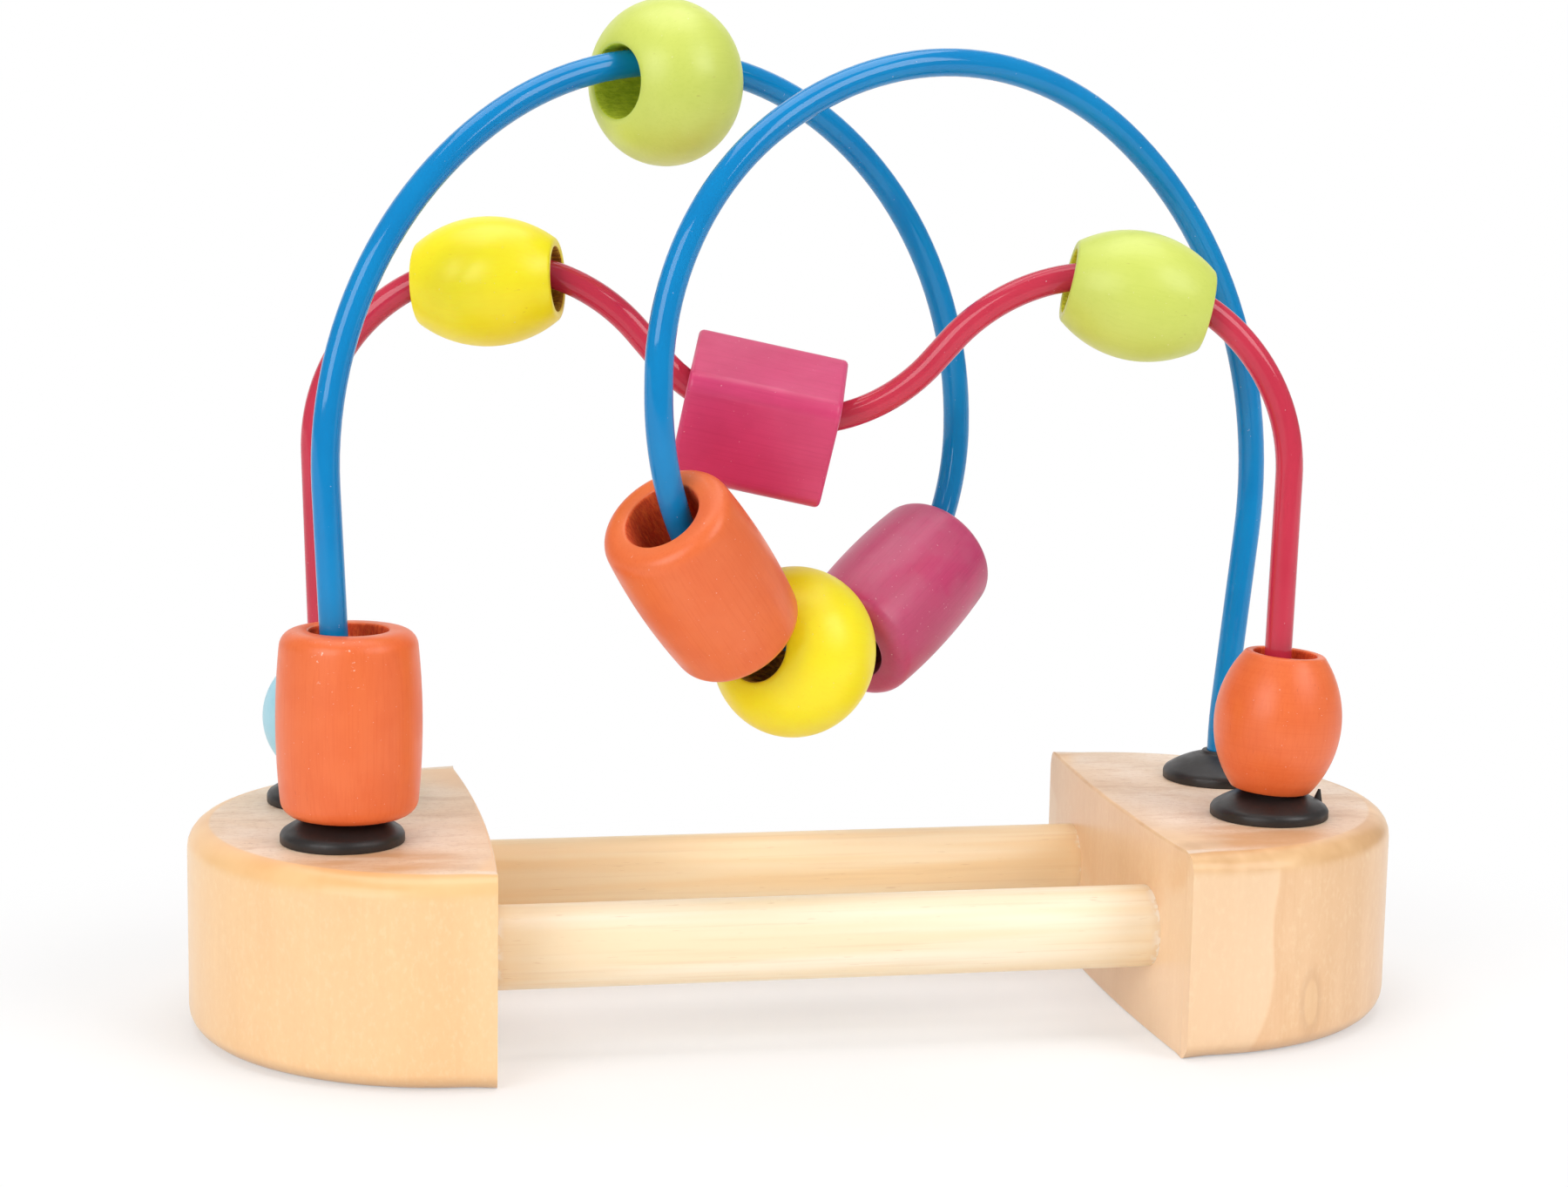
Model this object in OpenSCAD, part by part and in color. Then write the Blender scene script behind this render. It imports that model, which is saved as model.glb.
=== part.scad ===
// Wire bead maze: two round-ended wooden blocks, joined by two dowels, carry two bent wires with loose beads.
// Sizes are in millimetres. X runs along the dowels, Y across them and Z up from the table.

/* [Blocks] */
// Height of each block
block_h = 30; // [26:0.5:40]
// Width of each block, which is the diameter of its round end
block_w = 74; // [66:1:90]
// Straight side between the inner face and the round end
block_flat = 4; // [2:0.5:10]
// Rounding of the top and bottom edges
block_round = 3.5; // [1:0.25:6]
// Clear distance between the blocks, at the corners of their inner faces
block_gap = 98; // [90:1:110]
// How far the middle of each inner face stands out
face_bow = 1.5; // [0.5:0.1:3]

/* [Dowels] */
// Diameter of the dowels
dowel_d = 12; // [8:0.5:15]
// Distance between the centres of the dowels
dowel_spread = 39; // [34:1:46]
// Height of the dowel centres above the table
dowel_z = 15.5; // [13:0.5:18]
// Depth of the dowel holes
dowel_seat = 15; // [8:0.5:16]

/* [Wire feet] */
// Diameter of the coated wires
wire_d = 4; // [3:0.25:5]
// Distance from the inner corners of a block to its wire holes
foot_inset = 19.5; // [18:0.5:23]
// How much farther out the two back wire holes are
back_foot_out = 1; // [0:0.1:2]
// Distance between the two wire holes of a block
foot_spread = 26; // [22:0.5:30]
// Depth of the wire holes
wire_seat = 18; // [12:1:22]
// Upright wire above the block before a leg starts to lean
foot_rise = 5; // [4.5:0.1:8]
// Radius of the slight bend where a leg starts to lean
foot_bend = 60; // [50:1:70]
// Glue room around the wire ends and the dowel ends
glue_gap = 0.05; // [0.02:0.01:0.1]

/* [Blue wire] */
// Height of the left arch above the blocks
left_rise = 109.2; // [105:0.1:114]
// Height of the right arch above the blocks
right_rise = 109.8; // [105:0.1:114]
// Angle that the shoulders of an arch turn through before its crown
shoulder_turn = 55; // [50:1:60]
// Radius of the left arch's shoulder above its leg
left_outer_r = 57.5; // [52:0.5:62]
// Radius of the left arch's shoulder above the loop
left_inner_r = 56.2; // [50:0.1:60]
// Radius of the right arch's shoulder above the loop
right_inner_r = 41.4; // [37:0.1:46]
// Radius of the right arch's shoulder above its leg
right_outer_r = 65.4; // [60:0.1:70]
// Outward lean of the left leg, in degrees
left_lean = 2.9; // [1:0.1:5]
// Outward lean of the right leg, in degrees
right_lean = 6.9; // [5:0.1:9]
// How far right of the middle the loop starts
loop_right = 28.3; // [25:0.1:31]
// How far left of the middle the loop ends
loop_left = 25.9; // [23:0.1:29]
// Distance from the back of the loop to its front
loop_depth = 48; // [43:0.5:52]
// How far the loop's lowest point lies to the right of halfway between its sides
loop_shift = 5.6; // [3:0.1:7]
// Height from the loop's lowest point to its right end
right_drop = 29.3; // [27.5:0.1:31]
// Height from the loop's lowest point to where its left side starts to curve
left_drop = 39.6; // [37:0.1:40.4]

/* [Red wire] */
// Height of the dip's lowest point above the loop's lowest point, which leaves room for the beads between them
dip_over_loop = 32.89; // [32:0.01:36]
// Depth of the dip below the humps
dip_depth = 22; // [20.5:0.5:25]
// Steepest slope of the dip, in degrees
dip_slope = 49; // [46:0.5:51]
// Radius of the left hump
left_hump_r = 26.8; // [24:0.1:29]
// Radius of the right hump
right_hump_r = 28.5; // [26:0.1:31]
// Outward lean of the left leg, in degrees
red_left_lean = 1.8; // [1:0.1:5]
// Outward lean of the right leg, in degrees
red_right_lean = 1.1; // [1:0.1:4]

/* [Wire covers] */
// Diameter of the domed covers at the feet of the wires
cover_d = 17.5; // [15:0.5:20]
// Height of a cover's rim
cover_rim = 1.4; // [0.8:0.1:2]
// Height that the dome would have in its middle
cover_dome = 4.3; // [3.5:0.1:5]
// Diameter of the collar round the wire
collar_d = 5.6; // [5.2:0.1:7]
// Height of the collar
collar_h = 4.5; // [4:0.1:5]

/* [Beads] */
// Play between a bead and what it hangs on, rests on or leans against
bead_play = 0.3; // [0.15:0.05:0.5]
// Bevel at the mouths of the bores
mouth_bevel = 0.5; // [0.3:0.1:0.8]
// Diameter of the cylinder beads in their middle
cylinder_d = 20.5; // [19.5:0.1:22]
// Diameter to which the cylinder beads narrow at their ends
cylinder_end_d = 18.9; // [18:0.1:19.3]
// Length of the cylinder beads
cylinder_len = 26.4; // [24:0.1:29]
// Rounding of the cylinder beads' ends
cylinder_round = 2.4; // [1.5:0.1:2.8]
// Bore of the cylinder beads
cylinder_bore = 11; // [10:0.25:12]
// Diameter of the yellow ball bead in the loop
ball_d = 25.2; // [22:0.1:26]
// Diameter of the green ball bead
green_ball_d = 24; // [22:0.1:26]
// Diameter of the smaller ball bead at a foot
small_ball_d = 22.5; // [21:0.5:24]
// Length of the ball beads along their bores
ball_len = 19.4; // [18:0.1:21]
// Bore of the ball beads
ball_bore = 10.4; // [9.5:0.1:11.5]
// Largest diameter of the barrel beads
barrel_d = 18.8; // [17.4:0.2:20]
// Diameter of the barrel beads' ends
barrel_end_d = 11.6; // [11.2:0.2:13]
// Length of the barrel beads
barrel_len = 20.6; // [18:0.1:22]
// Rounding of the barrel beads' ends
barrel_round = 0.8; // [0.5:0.1:1.2]
// Bore of the barrel beads
barrel_bore = 9.2; // [8.2:0.1:9.4]
// Width of the square bead
square_w = 17.6; // [16:0.2:19]
// Length of the square bead
square_len = 22.4; // [19:0.1:24]
// Rounding of the square bead's long edges
square_round = 2.6; // [1:0.1:3]
// Rounding of the edges round the square bead's ends
square_end_round = 0.8; // [0.4:0.1:1.2]
// Bore of the square bead
square_bore = 10.2; // [9:0.1:10.6]

/* [Bead places] */
// Place of the green ball past the top of the left arch, in degrees
green_ball_at = 0; // [-10:0.1:10]
// Turn of the green ball's left mouth towards the front, in degrees
green_ball_turn = 10; // [0:1:12]
// Place of the yellow barrel past the top of the left hump, in degrees
yellow_barrel_at = -3.5; // [-10:0.1:10]
// Turn of the yellow barrel's right mouth towards the front, in degrees
yellow_barrel_turn = 8; // [0:1:9]
// Place of the green barrel past the top of the right hump, in degrees
green_barrel_at = 11.8; // [0:0.1:15]
// Place of the square bead past the bottom of the dip, in degrees
square_at = -11.4; // [-12:0.1:0]
// Turn of the square bead about its bore, in degrees
square_turn = 22; // [0:1:45]
// Place of the yellow ball past the bottom of the loop, in degrees
loop_ball_at = 13; // [9:0.1:16]
// How far the cylinder at a foot has slid to the right on its wire
cylinder_slide = 1.1; // [0:0.1:1.4]
// How far the smaller ball has slid to the right on its wire
small_ball_slide = 2; // [0:0.1:2.1]
// Tilt of the orange barrel that rests on its cover, in degrees
barrel_tilt = 4; // [3:0.5:8]

/* [Hidden] */
$fn = 64;

WOOD = [0.93, 0.80, 0.62];
BLUE = [0.10, 0.52, 0.78];
RED = [0.78, 0.16, 0.26];
BLACK = [0.16, 0.16, 0.16];
ORANGE = [0.94, 0.44, 0.22];
GREEN = [0.80, 0.85, 0.38];
YELLOW = [1.00, 0.92, 0.16];
MAGENTA = [0.80, 0.24, 0.43];
PALE_BLUE = [0.63, 0.84, 0.90];

// Half sizes and places that several pieces share
wire_r = wire_d / 2;
wire_hole_r = wire_r + glue_gap;
foot_x = block_gap / 2 + foot_inset;
foot_y = foot_spread / 2;
foot_z = block_h + foot_rise;
wire_end_z = block_h - wire_seat + glue_gap;
bow_r = (pow(block_w / 2, 2) + pow(face_bow, 2)) / (2 * face_bow);
past_face = 1;
wire_lap = 0.2;
lap_step = 0.02;
side_facets = 360;

// Plan places of the feet and of the loop's two ends
left_front = [-foot_x, -foot_y];
left_back = [-foot_x - back_foot_out, foot_y];
right_front = [foot_x, -foot_y];
right_back = [foot_x + back_foot_out, foot_y];
loop_back = [loop_right, loop_depth / 2];
loop_front = [-loop_left, -loop_depth / 2];

function plan_turn(from, to) = atan2(to.y - from.y, to.x - from.x);

// A run of wire lies in an upright plane: [plan start, plan turn, first state, pieces].
// A state is [way along the plan line, height, heading]. A piece is [length], or [radius, turn] for an arc.
function arc_centre(state, piece) =
    [state[0] - sign(piece[1]) * piece[0] * sin(state[2]), state[1] + sign(piece[1]) * piece[0] * cos(state[2])];
function arc_end(state, piece, centre) =
    let (heading = state[2] + piece[1], side = sign(piece[1]) * piece[0])
    [centre[0] + side * sin(heading), centre[1] - side * cos(heading), heading];
function piece_end(state, piece) = len(piece) == 1
    ? [state[0] + piece[0] * cos(state[2]), state[1] + piece[0] * sin(state[2]), state[2]]
    : arc_end(state, piece, arc_centre(state, piece));
function state_at(run, n) = n == 0 ? run[2] : piece_end(state_at(run, n - 1), run[3][n - 1]);

// An arch of a given width has two shoulders and a crown: [crown radius, leg length]
function arch_fit(width, rise, outer_r, inner_r, lean) =
    let (reach = width + foot_bend * (1 - cos(lean)) - outer_r * (cos(lean) - cos(shoulder_turn))
                 - inner_r * (1 - cos(shoulder_turn)),
         height = rise - foot_rise - foot_bend * sin(lean) - outer_r * (sin(shoulder_turn) + sin(lean)),
         flat = 1 - sin(shoulder_turn),
         both = 2 * cos(shoulder_turn))
    [reach * cos(lean) + height * sin(lean), both * height - flat * reach] / (both * cos(lean) + flat * sin(lean));
// Height at which an arch's inner shoulder is upright again
function inner_end_z(rise, crown_r, inner_r) =
    block_h + rise - crown_r * (1 - sin(shoulder_turn)) - inner_r * sin(shoulder_turn);

left_fit = arch_fit(norm(loop_back - left_front), left_rise, left_outer_r, left_inner_r, left_lean);
right_fit = arch_fit(norm(right_back - loop_front), right_rise, right_outer_r, right_inner_r, right_lean);
left_inner_z = inner_end_z(left_rise, left_fit[0], left_inner_r);
right_inner_z = inner_end_z(right_rise, right_fit[0], right_inner_r);

// Each half of the loop is a side and a part of the bottom, which meet at this turn
loop_side_turn = 45;
loop_half = norm(loop_front - loop_back) / 2;
loop_low = left_inner_z - right_drop;
loop_end_z = loop_low + left_drop;
right_reach = loop_half - loop_shift;
left_reach = loop_half + loop_shift;
loop_mix = (1 - cos(loop_side_turn)) * (1 - sin(loop_side_turn)) - cos(loop_side_turn) * sin(loop_side_turn);
function side_r(reach, drop) = (reach * (1 - sin(loop_side_turn)) - drop * cos(loop_side_turn)) / loop_mix;
function bottom_r(reach, drop) = (drop * (1 - cos(loop_side_turn)) - reach * sin(loop_side_turn)) / loop_mix;

left_arch = [left_front, plan_turn(left_front, loop_back), [0, wire_end_z, 90],
             [[foot_z - wire_end_z], [foot_bend, left_lean], [left_fit[1]], [left_outer_r, -shoulder_turn - left_lean],
              [left_fit[0], 2 * shoulder_turn - 180], [left_inner_r, -shoulder_turn]]];
loop = [loop_back, plan_turn(loop_back, loop_front), [0, left_inner_z, -90],
        [[side_r(right_reach, right_drop), loop_side_turn],
         [bottom_r(right_reach, right_drop), 90 - loop_side_turn],
         [bottom_r(left_reach, left_drop), 90 - loop_side_turn],
         [side_r(left_reach, left_drop), loop_side_turn], [right_inner_z - loop_end_z]]];
right_arch = [loop_front, plan_turn(loop_front, right_back), [0, right_inner_z, 90],
              [[right_inner_r, -shoulder_turn], [right_fit[0], 2 * shoulder_turn - 180],
               [right_outer_r, -shoulder_turn - right_lean], [right_fit[1]], [foot_bend, right_lean],
               [foot_z - wire_end_z]]];
LEFT_CROWN = 4;
LOOP_RIGHT_SIDE = 0;
LOOP_BOTTOM = 2;
LOOP_LEFT_SIDE = 3;

// The red wire lies in one plane: leg, hump, slope, dip, slope, hump, leg
red_span = norm(right_front - left_back);
hump_rise = loop_low + dip_over_loop + dip_depth - block_h;
function hump_leg(r, lean) =
    (hump_rise - foot_rise - foot_bend * sin(lean) - r * (1 + sin(lean))) / cos(lean);
function hump_reach(r, lean) =
    r * (cos(lean) + sin(dip_slope)) - foot_bend * (1 - cos(lean)) - hump_leg(r, lean) * sin(lean);
slope_flat = 1 - cos(dip_slope);
dip_reach = red_span - hump_reach(left_hump_r, red_left_lean) - hump_reach(right_hump_r, red_right_lean);
dip_r = (dip_reach * sin(dip_slope) - cos(dip_slope) * (2 * dip_depth - (left_hump_r + right_hump_r) * slope_flat))
        / (2 * pow(sin(dip_slope), 2) - 2 * slope_flat * cos(dip_slope));
function slope_len(r) = (dip_depth - (r + dip_r) * slope_flat) / sin(dip_slope);

red_run = [left_back, plan_turn(left_back, right_front), [0, wire_end_z, 90],
           [[foot_z - wire_end_z], [foot_bend, red_left_lean], [hump_leg(left_hump_r, red_left_lean)],
            [left_hump_r, -90 - red_left_lean - dip_slope], [slope_len(left_hump_r)], [dip_r, 2 * dip_slope],
            [slope_len(right_hump_r)], [right_hump_r, -90 - red_right_lean - dip_slope],
            [hump_leg(right_hump_r, red_right_lean)], [foot_bend, red_right_lean], [foot_z - wire_end_z]]];
LEFT_HUMP = 3;
DIP = 5;
RIGHT_HUMP = 7;

// Radius at which a bead's bore hangs from the top of a hump, or from the curved-up wire of a dip
function over_hump(r, bore) = r + wire_r - bore / 2 + bead_play;
function in_dip(r, bore, length) =
    let (flat = sqrt(r * r - length * length / 4)) flat - wire_r * r / flat + bore / 2 - bead_play;
function arc_of(run, n) = run[3][n][0];

// Height of a cover's dome above the block, at a distance from its middle
dome_r = (pow(cover_d / 2, 2) + pow(cover_dome - cover_rim, 2)) / (2 * (cover_dome - cover_rim));
function dome_at(r) = cover_dome - dome_r + sqrt(dome_r * dome_r - r * r);
// Height at which the mouth of a bore rests on a cover
function rest_z(mouth_r) = block_h + dome_at(mouth_r) + bead_play;

// The ball beads are rounded by circles set out from their bores
ball_round = ball_len / 2;
ball_mouth_r = ball_bore / 2 + mouth_bevel;
function ball_out(d) = d / 2 - ball_round;
function ball_half_len(d) = sqrt(pow(ball_round, 2) - pow(ball_mouth_r - ball_out(d), 2));

// A bulged bead's side is an arc, which a smaller arc joins to each end
function stave_r(d, end_d, length) = (pow(length, 2) + pow(d - end_d, 2)) / (4 * (d - end_d));
// Distance of the smaller arc's centre from the bore's middle line
function round_x(d, end_d, length, end_round) =
    let (side_r = stave_r(d, end_d, length))
    d / 2 - side_r + sqrt(pow(side_r - end_round, 2) - pow(length / 2 - end_round, 2));

// The loop's ball and the cylinders that lean against it
ball_hang_r = in_dip(arc_of(loop, LOOP_BOTTOM), ball_bore, 2 * ball_half_len(ball_d));
ball_near_r = ball_hang_r - ball_out(ball_d);
function cylinder_hang_r(n) = in_dip(arc_of(loop, n), cylinder_bore, cylinder_len);
// Angle on a loop side at which a cylinder's rounded rim meets the ball; side is 1 on the left, -1 on the right
function lean_angle(n, reach, drop, side) =
    let (across = arc_of(loop, n) - reach + side * ball_near_r * sin(loop_ball_at),
         down = drop - arc_of(loop, LOOP_BOTTOM) + ball_near_r * cos(loop_ball_at),
         away = norm([across, down]),
         rim = cylinder_len / 2 - cylinder_round,
         in = cylinder_hang_r(n) - round_x(cylinder_d, cylinder_end_d, cylinder_len, cylinder_round),
         touch = ball_round + cylinder_round + bead_play,
         share = (away * away + rim * rim + in * in - touch * touch) / (2 * away * norm([rim, in])))
    atan2(across, down) + atan2(rim, in) + acos(share);

// One piece of wire, drawn longer at both ends by lap
module wire_piece(state, piece, r, lap) {
    if (len(piece) == 1) {
        translate([state[0], 0, state[1]])
            rotate([0, 90 - state[2], 0])
                translate([0, 0, -lap])
                    cylinder(r = r, h = piece[0] + 2 * lap);
    } else {
        centre = arc_centre(state, piece);
        more = asin(lap / piece[0]);
        first = piece[1] > 0 ? state[2] - 90 : state[2] + 90 + piece[1];
        translate([centre[0], 0, centre[1]])
            rotate([90, 0, 0])
                rotate([0, 0, first - more])
                    rotate_extrude(angle = abs(piece[1]) + 2 * more)
                        translate([piece[0], 0])
                            circle(r = r, $fn = 48);
    }
}

module in_run(run) {
    translate([run[0].x, run[0].y, 0])
        rotate([0, 0, run[1]])
            children();
}

// Every second piece of a wire is a hair thinner and runs a little way into its two neighbours
module wire_run(run, first_thin = false) {
    in_run(run)
        for (n = [0 : len(run[3]) - 1])
            if ((n % 2 == 0) == first_thin)
                wire_piece(state_at(run, n), run[3][n], wire_r - lap_step, wire_lap);
            else
                wire_piece(state_at(run, n), run[3][n], wire_r, 0);
}

// Puts a bead on an arc, at an angle past its top or bottom, with the bore along the wire
module on_arc(run, n, at, radius) {
    centre = arc_centre(state_at(run, n), run[3][n]);
    side = -sign(run[3][n][1]);
    in_run(run)
        translate([centre[0] + radius * sin(at), 0, centre[1] + side * radius * cos(at)])
            rotate([0, 90 + side * at, 0])
                children();
}

// Stands a bead of half length half_len at a foot, leaning along its run
module on_foot(run, along, z, lean, half_len) {
    in_run(run)
        translate([along, 0, z])
            rotate([0, lean, 0])
                translate([0, 0, half_len])
                    children();
}

// Half of a block's section, with its top and bottom edges rounded
module block_section() {
    square([block_w / 2 - block_round, block_h]);
    translate([0, block_round])
        square([block_w / 2, block_h - 2 * block_round]);
    for (z = [block_round, block_h - block_round])
        translate([block_w / 2 - block_round, z])
            circle(r = block_round);
}

// A block with its round end towards +X, its inner corners at X = 0; back is 1 if its back is towards +Y, or -1
module block(back) {
    side_len = block_flat + face_bow + past_face;
    difference() {
        intersection() {
            translate([block_flat, 0, 0])
                union() {
                    rotate([0, 0, -90])
                        rotate_extrude(angle = 180)
                            block_section();
                    translate([-side_len, 0, 0])
                        rotate([90, 0, 90])
                            linear_extrude(height = side_len) {
                                block_section();
                                mirror([1, 0])
                                    block_section();
                            }
                }
            translate([bow_r - face_bow, 0, 0])
                cylinder(r = bow_r, h = block_h, $fn = 720);
        }
        for (side = [-1, 1]) {
            translate([-face_bow - past_face, side * dowel_spread / 2, dowel_z])
                rotate([0, 90, 0])
                    cylinder(d = dowel_d + 2 * glue_gap, h = dowel_seat + face_bow + past_face);
            translate([foot_inset + (side == back ? back_foot_out : 0), side * foot_y, block_h - wire_seat])
                cylinder(r = wire_hole_r, h = wire_seat + past_face);
        }
    }
}

module left_block() {
    color(WOOD)
        rotate([0, 0, 180])
            translate([block_gap / 2, 0, 0])
                block(-1);
}

module right_block() {
    color(WOOD)
        translate([block_gap / 2, 0, 0])
            block(1);
}

module dowel(side) {
    length = block_gap + 2 * (dowel_seat - glue_gap);
    color(WOOD)
        translate([-length / 2, side * dowel_spread / 2, dowel_z])
            rotate([0, 90, 0])
                cylinder(d = dowel_d, h = length);
}

module front_dowel() { dowel(-1); }
module back_dowel() { dowel(1); }

module blue_wire() {
    color(BLUE) {
        wire_run(left_arch);
        wire_run(loop);
        wire_run(right_arch, first_thin = true);
    }
}

module red_wire() {
    color(RED)
        wire_run(red_run);
}

// A domed cover round the foot of a wire, standing on the block
module cover(place) {
    color(BLACK)
        translate([place.x, place.y, block_h])
            rotate_extrude()
                difference() {
                    union() {
                        square([cover_d / 2, cover_rim]);
                        square([collar_d / 2, collar_h]);
                        intersection() {
                            translate([0, cover_dome - dome_r])
                                circle(r = dome_r, $fn = 128);
                            square([cover_d / 2, cover_dome]);
                        }
                    }
                    square([wire_hole_r, 2 * collar_h]);
                }
}

module front_left_cover() { cover(left_front); }
module back_left_cover() { cover(left_back); }
module front_right_cover() { cover(right_front); }
module back_right_cover() { cover(right_back); }

// Takes the bore and its bevelled mouths out of a bead's half section
module bore_section(bore, mouth_z) {
    square([bore, 4 * mouth_z], center = true);
    for (end = [0, 1])
        mirror([0, end])
            polygon([[0, mouth_z - mouth_bevel - bore / 2], [bore / 2 + mouth_bevel, mouth_z],
                     [bore / 2 + mouth_bevel, mouth_z + bore], [0, mouth_z + bore]]);
}

// Beads are drawn round their bores, which lie along Z through the origin
module bulged_bead(d, end_d, length, end_round, bore) {
    side_r = stave_r(d, end_d, length);
    round_z = length / 2 - end_round;
    join_z = round_z * side_r / (side_r - end_round);
    round_x = round_x(d, end_d, length, end_round);
    rotate_extrude()
        difference() {
            union() {
                intersection() {
                    translate([d / 2 - side_r, 0])
                        circle(r = side_r, $fn = side_facets);
                    translate([0, -join_z])
                        square([d / 2, 2 * join_z]);
                }
                translate([0, -length / 2])
                    square([round_x, length]);
                for (end = [-1, 1])
                    translate([round_x, end * round_z])
                        circle(r = end_round);
            }
            bore_section(bore, length / 2);
        }
}

module cylinder_bead() { bulged_bead(cylinder_d, cylinder_end_d, cylinder_len, cylinder_round, cylinder_bore); }
module barrel_bead() { bulged_bead(barrel_d, barrel_end_d, barrel_len, barrel_round, barrel_bore); }

module ball_bead(d) {
    rotate_extrude()
        difference() {
            union() {
                translate([0, -ball_round])
                    square([ball_out(d), ball_len]);
                intersection() {
                    translate([ball_out(d), 0])
                        circle(r = ball_round, $fn = 96);
                    translate([0, -ball_round])
                        square([d / 2, ball_len]);
                }
            }
            bore_section(ball_bore, ball_half_len(d));
        }
}

module rounded_square(width, height, r) {
    square([width - 2 * r, height], center = true);
    square([width, height - 2 * r], center = true);
    for (x = [-1, 1], y = [-1, 1])
        translate([x * (width / 2 - r), y * (height / 2 - r)])
            circle(r = r);
}

module square_bead() {
    difference() {
        intersection() {
            linear_extrude(height = square_len, center = true)
                rounded_square(square_w, square_w, square_round);
            rotate([90, 0, 0])
                linear_extrude(height = square_w, center = true)
                    rounded_square(square_w, square_len, square_end_round);
            rotate([90, 0, 90])
                linear_extrude(height = square_w, center = true)
                    rounded_square(square_w, square_len, square_end_round);
        }
        cylinder(d = square_bore, h = 2 * square_len, center = true);
        for (end = [0, 1])
            mirror([0, 0, end])
                translate([0, 0, square_len / 2 - mouth_bevel])
                    cylinder(r1 = square_bore / 2, r2 = square_bore / 2 + mouth_bevel, h = mouth_bevel);
    }
}

// Beads at the feet stand on their covers
module orange_cylinder() {
    mouth_r = cylinder_bore / 2 + mouth_bevel;
    color(ORANGE)
        on_foot(left_arch, cylinder_slide, rest_z(mouth_r - cylinder_slide), 0, cylinder_len / 2)
            cylinder_bead();
}

module pale_blue_ball() {
    color(PALE_BLUE)
        on_foot(red_run, small_ball_slide, rest_z(ball_mouth_r - small_ball_slide), 0, ball_half_len(small_ball_d))
            ball_bead(small_ball_d);
}

module green_ball() {
    color(GREEN)
        on_arc(left_arch, LEFT_CROWN, green_ball_at, over_hump(arc_of(left_arch, LEFT_CROWN), ball_bore))
            rotate([-green_ball_turn, 0, 0])
                ball_bead(green_ball_d);
}

module yellow_barrel() {
    color(YELLOW)
        on_arc(red_run, LEFT_HUMP, yellow_barrel_at, over_hump(left_hump_r, barrel_bore))
            rotate([yellow_barrel_turn, 0, 0])
                barrel_bead();
}

module magenta_prism() {
    color(MAGENTA)
        on_arc(red_run, DIP, square_at, in_dip(dip_r, square_bore, square_len))
            rotate([0, 0, square_turn])
                square_bead();
}

module loop_orange_cylinder() {
    color(ORANGE)
        on_arc(loop, LOOP_LEFT_SIDE, lean_angle(LOOP_LEFT_SIDE, left_reach, left_drop, 1),
               cylinder_hang_r(LOOP_LEFT_SIDE))
            cylinder_bead();
}

module yellow_ball() {
    color(YELLOW)
        on_arc(loop, LOOP_BOTTOM, loop_ball_at, ball_hang_r)
            ball_bead(ball_d);
}

module loop_magenta_cylinder() {
    color(MAGENTA)
        on_arc(loop, LOOP_RIGHT_SIDE, -lean_angle(LOOP_RIGHT_SIDE, right_reach, right_drop, -1),
               cylinder_hang_r(LOOP_RIGHT_SIDE))
            cylinder_bead();
}

module green_barrel() {
    color(GREEN)
        on_arc(red_run, RIGHT_HUMP, green_barrel_at, over_hump(right_hump_r, barrel_bore))
            barrel_bead();
}

module orange_barrel() {
    mouth_r = barrel_bore / 2 + mouth_bevel;
    color(ORANGE)
        on_foot(red_run, red_span, rest_z(mouth_r) + mouth_r * sin(barrel_tilt), barrel_tilt, barrel_len / 2)
            barrel_bead();
}

left_block();
right_block();
front_dowel();
back_dowel();
blue_wire();
red_wire();
front_left_cover();
back_left_cover();
front_right_cover();
back_right_cover();
orange_cylinder();
pale_blue_ball();
green_ball();
yellow_barrel();
magenta_prism();
loop_orange_cylinder();
yellow_ball();
loop_magenta_cylinder();
green_barrel();
orange_barrel();
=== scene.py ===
"""A wire bead maze: round-ended beech blocks, two dowels, two coated wires and ten painted beads."""

import math

import bmesh
import bpy
from mathutils import Matrix, Vector


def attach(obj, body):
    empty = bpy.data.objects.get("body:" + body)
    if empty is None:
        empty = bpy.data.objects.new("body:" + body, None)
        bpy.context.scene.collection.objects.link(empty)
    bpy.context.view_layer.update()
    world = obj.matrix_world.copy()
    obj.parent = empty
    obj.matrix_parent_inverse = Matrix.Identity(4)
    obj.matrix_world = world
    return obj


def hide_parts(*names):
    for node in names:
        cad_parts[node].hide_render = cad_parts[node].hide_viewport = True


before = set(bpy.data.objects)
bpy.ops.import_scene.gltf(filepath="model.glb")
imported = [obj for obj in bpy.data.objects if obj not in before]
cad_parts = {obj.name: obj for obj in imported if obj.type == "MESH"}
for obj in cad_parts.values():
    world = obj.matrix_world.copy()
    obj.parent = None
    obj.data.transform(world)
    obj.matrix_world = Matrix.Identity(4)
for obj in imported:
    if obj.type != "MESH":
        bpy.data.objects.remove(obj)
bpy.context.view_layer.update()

MM = 0.001
WELD = 0.001
UP = Vector((0, 0, 1))

# Blocks and dowels, in millimetres
BLOCK_H = 30
BLOCK_W = 74
BLOCK_FLAT = 4
BLOCK_ROUND = 3.5
BLOCK_GAP = 98
FACE_BOW = 1.5
EASED_EDGE = 0.5
DOWEL_D = 12
DOWEL_SPREAD = 39
DOWEL_Z = 15.5
DOWEL_LENGTH = BLOCK_GAP + 29.9
DOWEL_EASE = 0.6

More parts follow.
